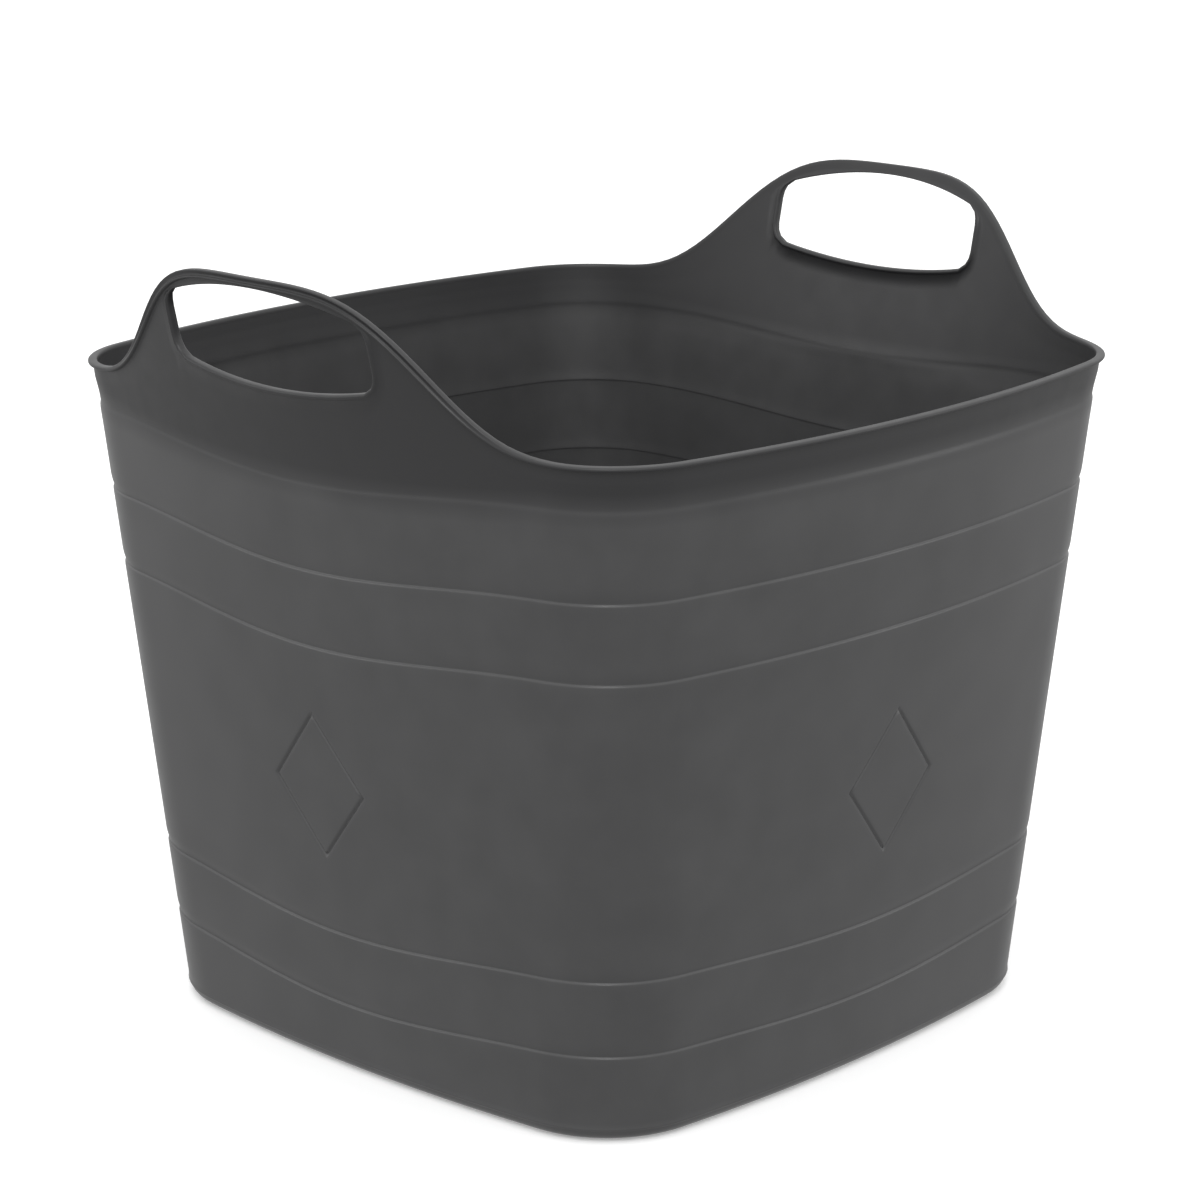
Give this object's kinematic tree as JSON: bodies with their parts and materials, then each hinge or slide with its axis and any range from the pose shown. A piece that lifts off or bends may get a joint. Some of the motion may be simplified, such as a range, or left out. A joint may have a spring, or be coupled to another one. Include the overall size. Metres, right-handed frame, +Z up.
{
  "type": "flexible storage tub",
  "caption": "Square open-top flexible plastic storage tub with tapering bowed walls, moulded lines, a rolled rim and arched grip handles on opposite sides.",
  "frame": {"origin": "on the floor under the middle of the base", "axes": "+Z up, the arched handles stand on the -X and +X walls, -Y and +Y are the plain walls"},
  "size_m": [0.5102, 0.4628, 0.4414],
  "materials": {
    "tub_plastic": "satin charcoal grey, through-coloured"
  },
  "bodies": {
    "tub": {"floor_panel": "tub_plastic", "foot_band": "tub_plastic", "lower_band": "tub_plastic", "main_wall": "tub_plastic", "upper_band_front": "tub_plastic", "upper_band_right": "tub_plastic", "upper_band_back": "tub_plastic", "upper_band_left": "tub_plastic", "shoulder_band": "tub_plastic", "collar_front": "tub_plastic", "collar_right": "tub_plastic", "collar_back": "tub_plastic", "collar_left": "tub_plastic", "rim_bead_front": "tub_plastic", "rim_bead_back": "tub_plastic", "diamond_front": "tub_plastic", "diamond_right": "tub_plastic", "diamond_back": "tub_plastic", "diamond_left": "tub_plastic"},
    "handle_left": {"handle_left_arch": "tub_plastic", "handle_left_bead": "tub_plastic", "handle_left_hole_edge": "tub_plastic"},
    "handle_right": {"handle_right_arch": "tub_plastic", "handle_right_bead": "tub_plastic", "handle_right_hole_edge": "tub_plastic"}
  },
  "joints": [
    {"name": "handle_left_flex", "type": "hinge", "parent": "tub", "child": "handle_left", "pos_m": [-0.213, 0, 0.374], "axis": [0, 1, 0], "range_deg": [0, 30], "stiffness_Nm_per_rad": 1.7},
    {"name": "handle_right_flex", "type": "hinge", "parent": "tub", "child": "handle_right", "pos_m": [0.213, 0, 0.374], "axis": [0, -1, 0], "range_deg": [0, 30], "stiffness_Nm_per_rad": 1.7}
  ]
}
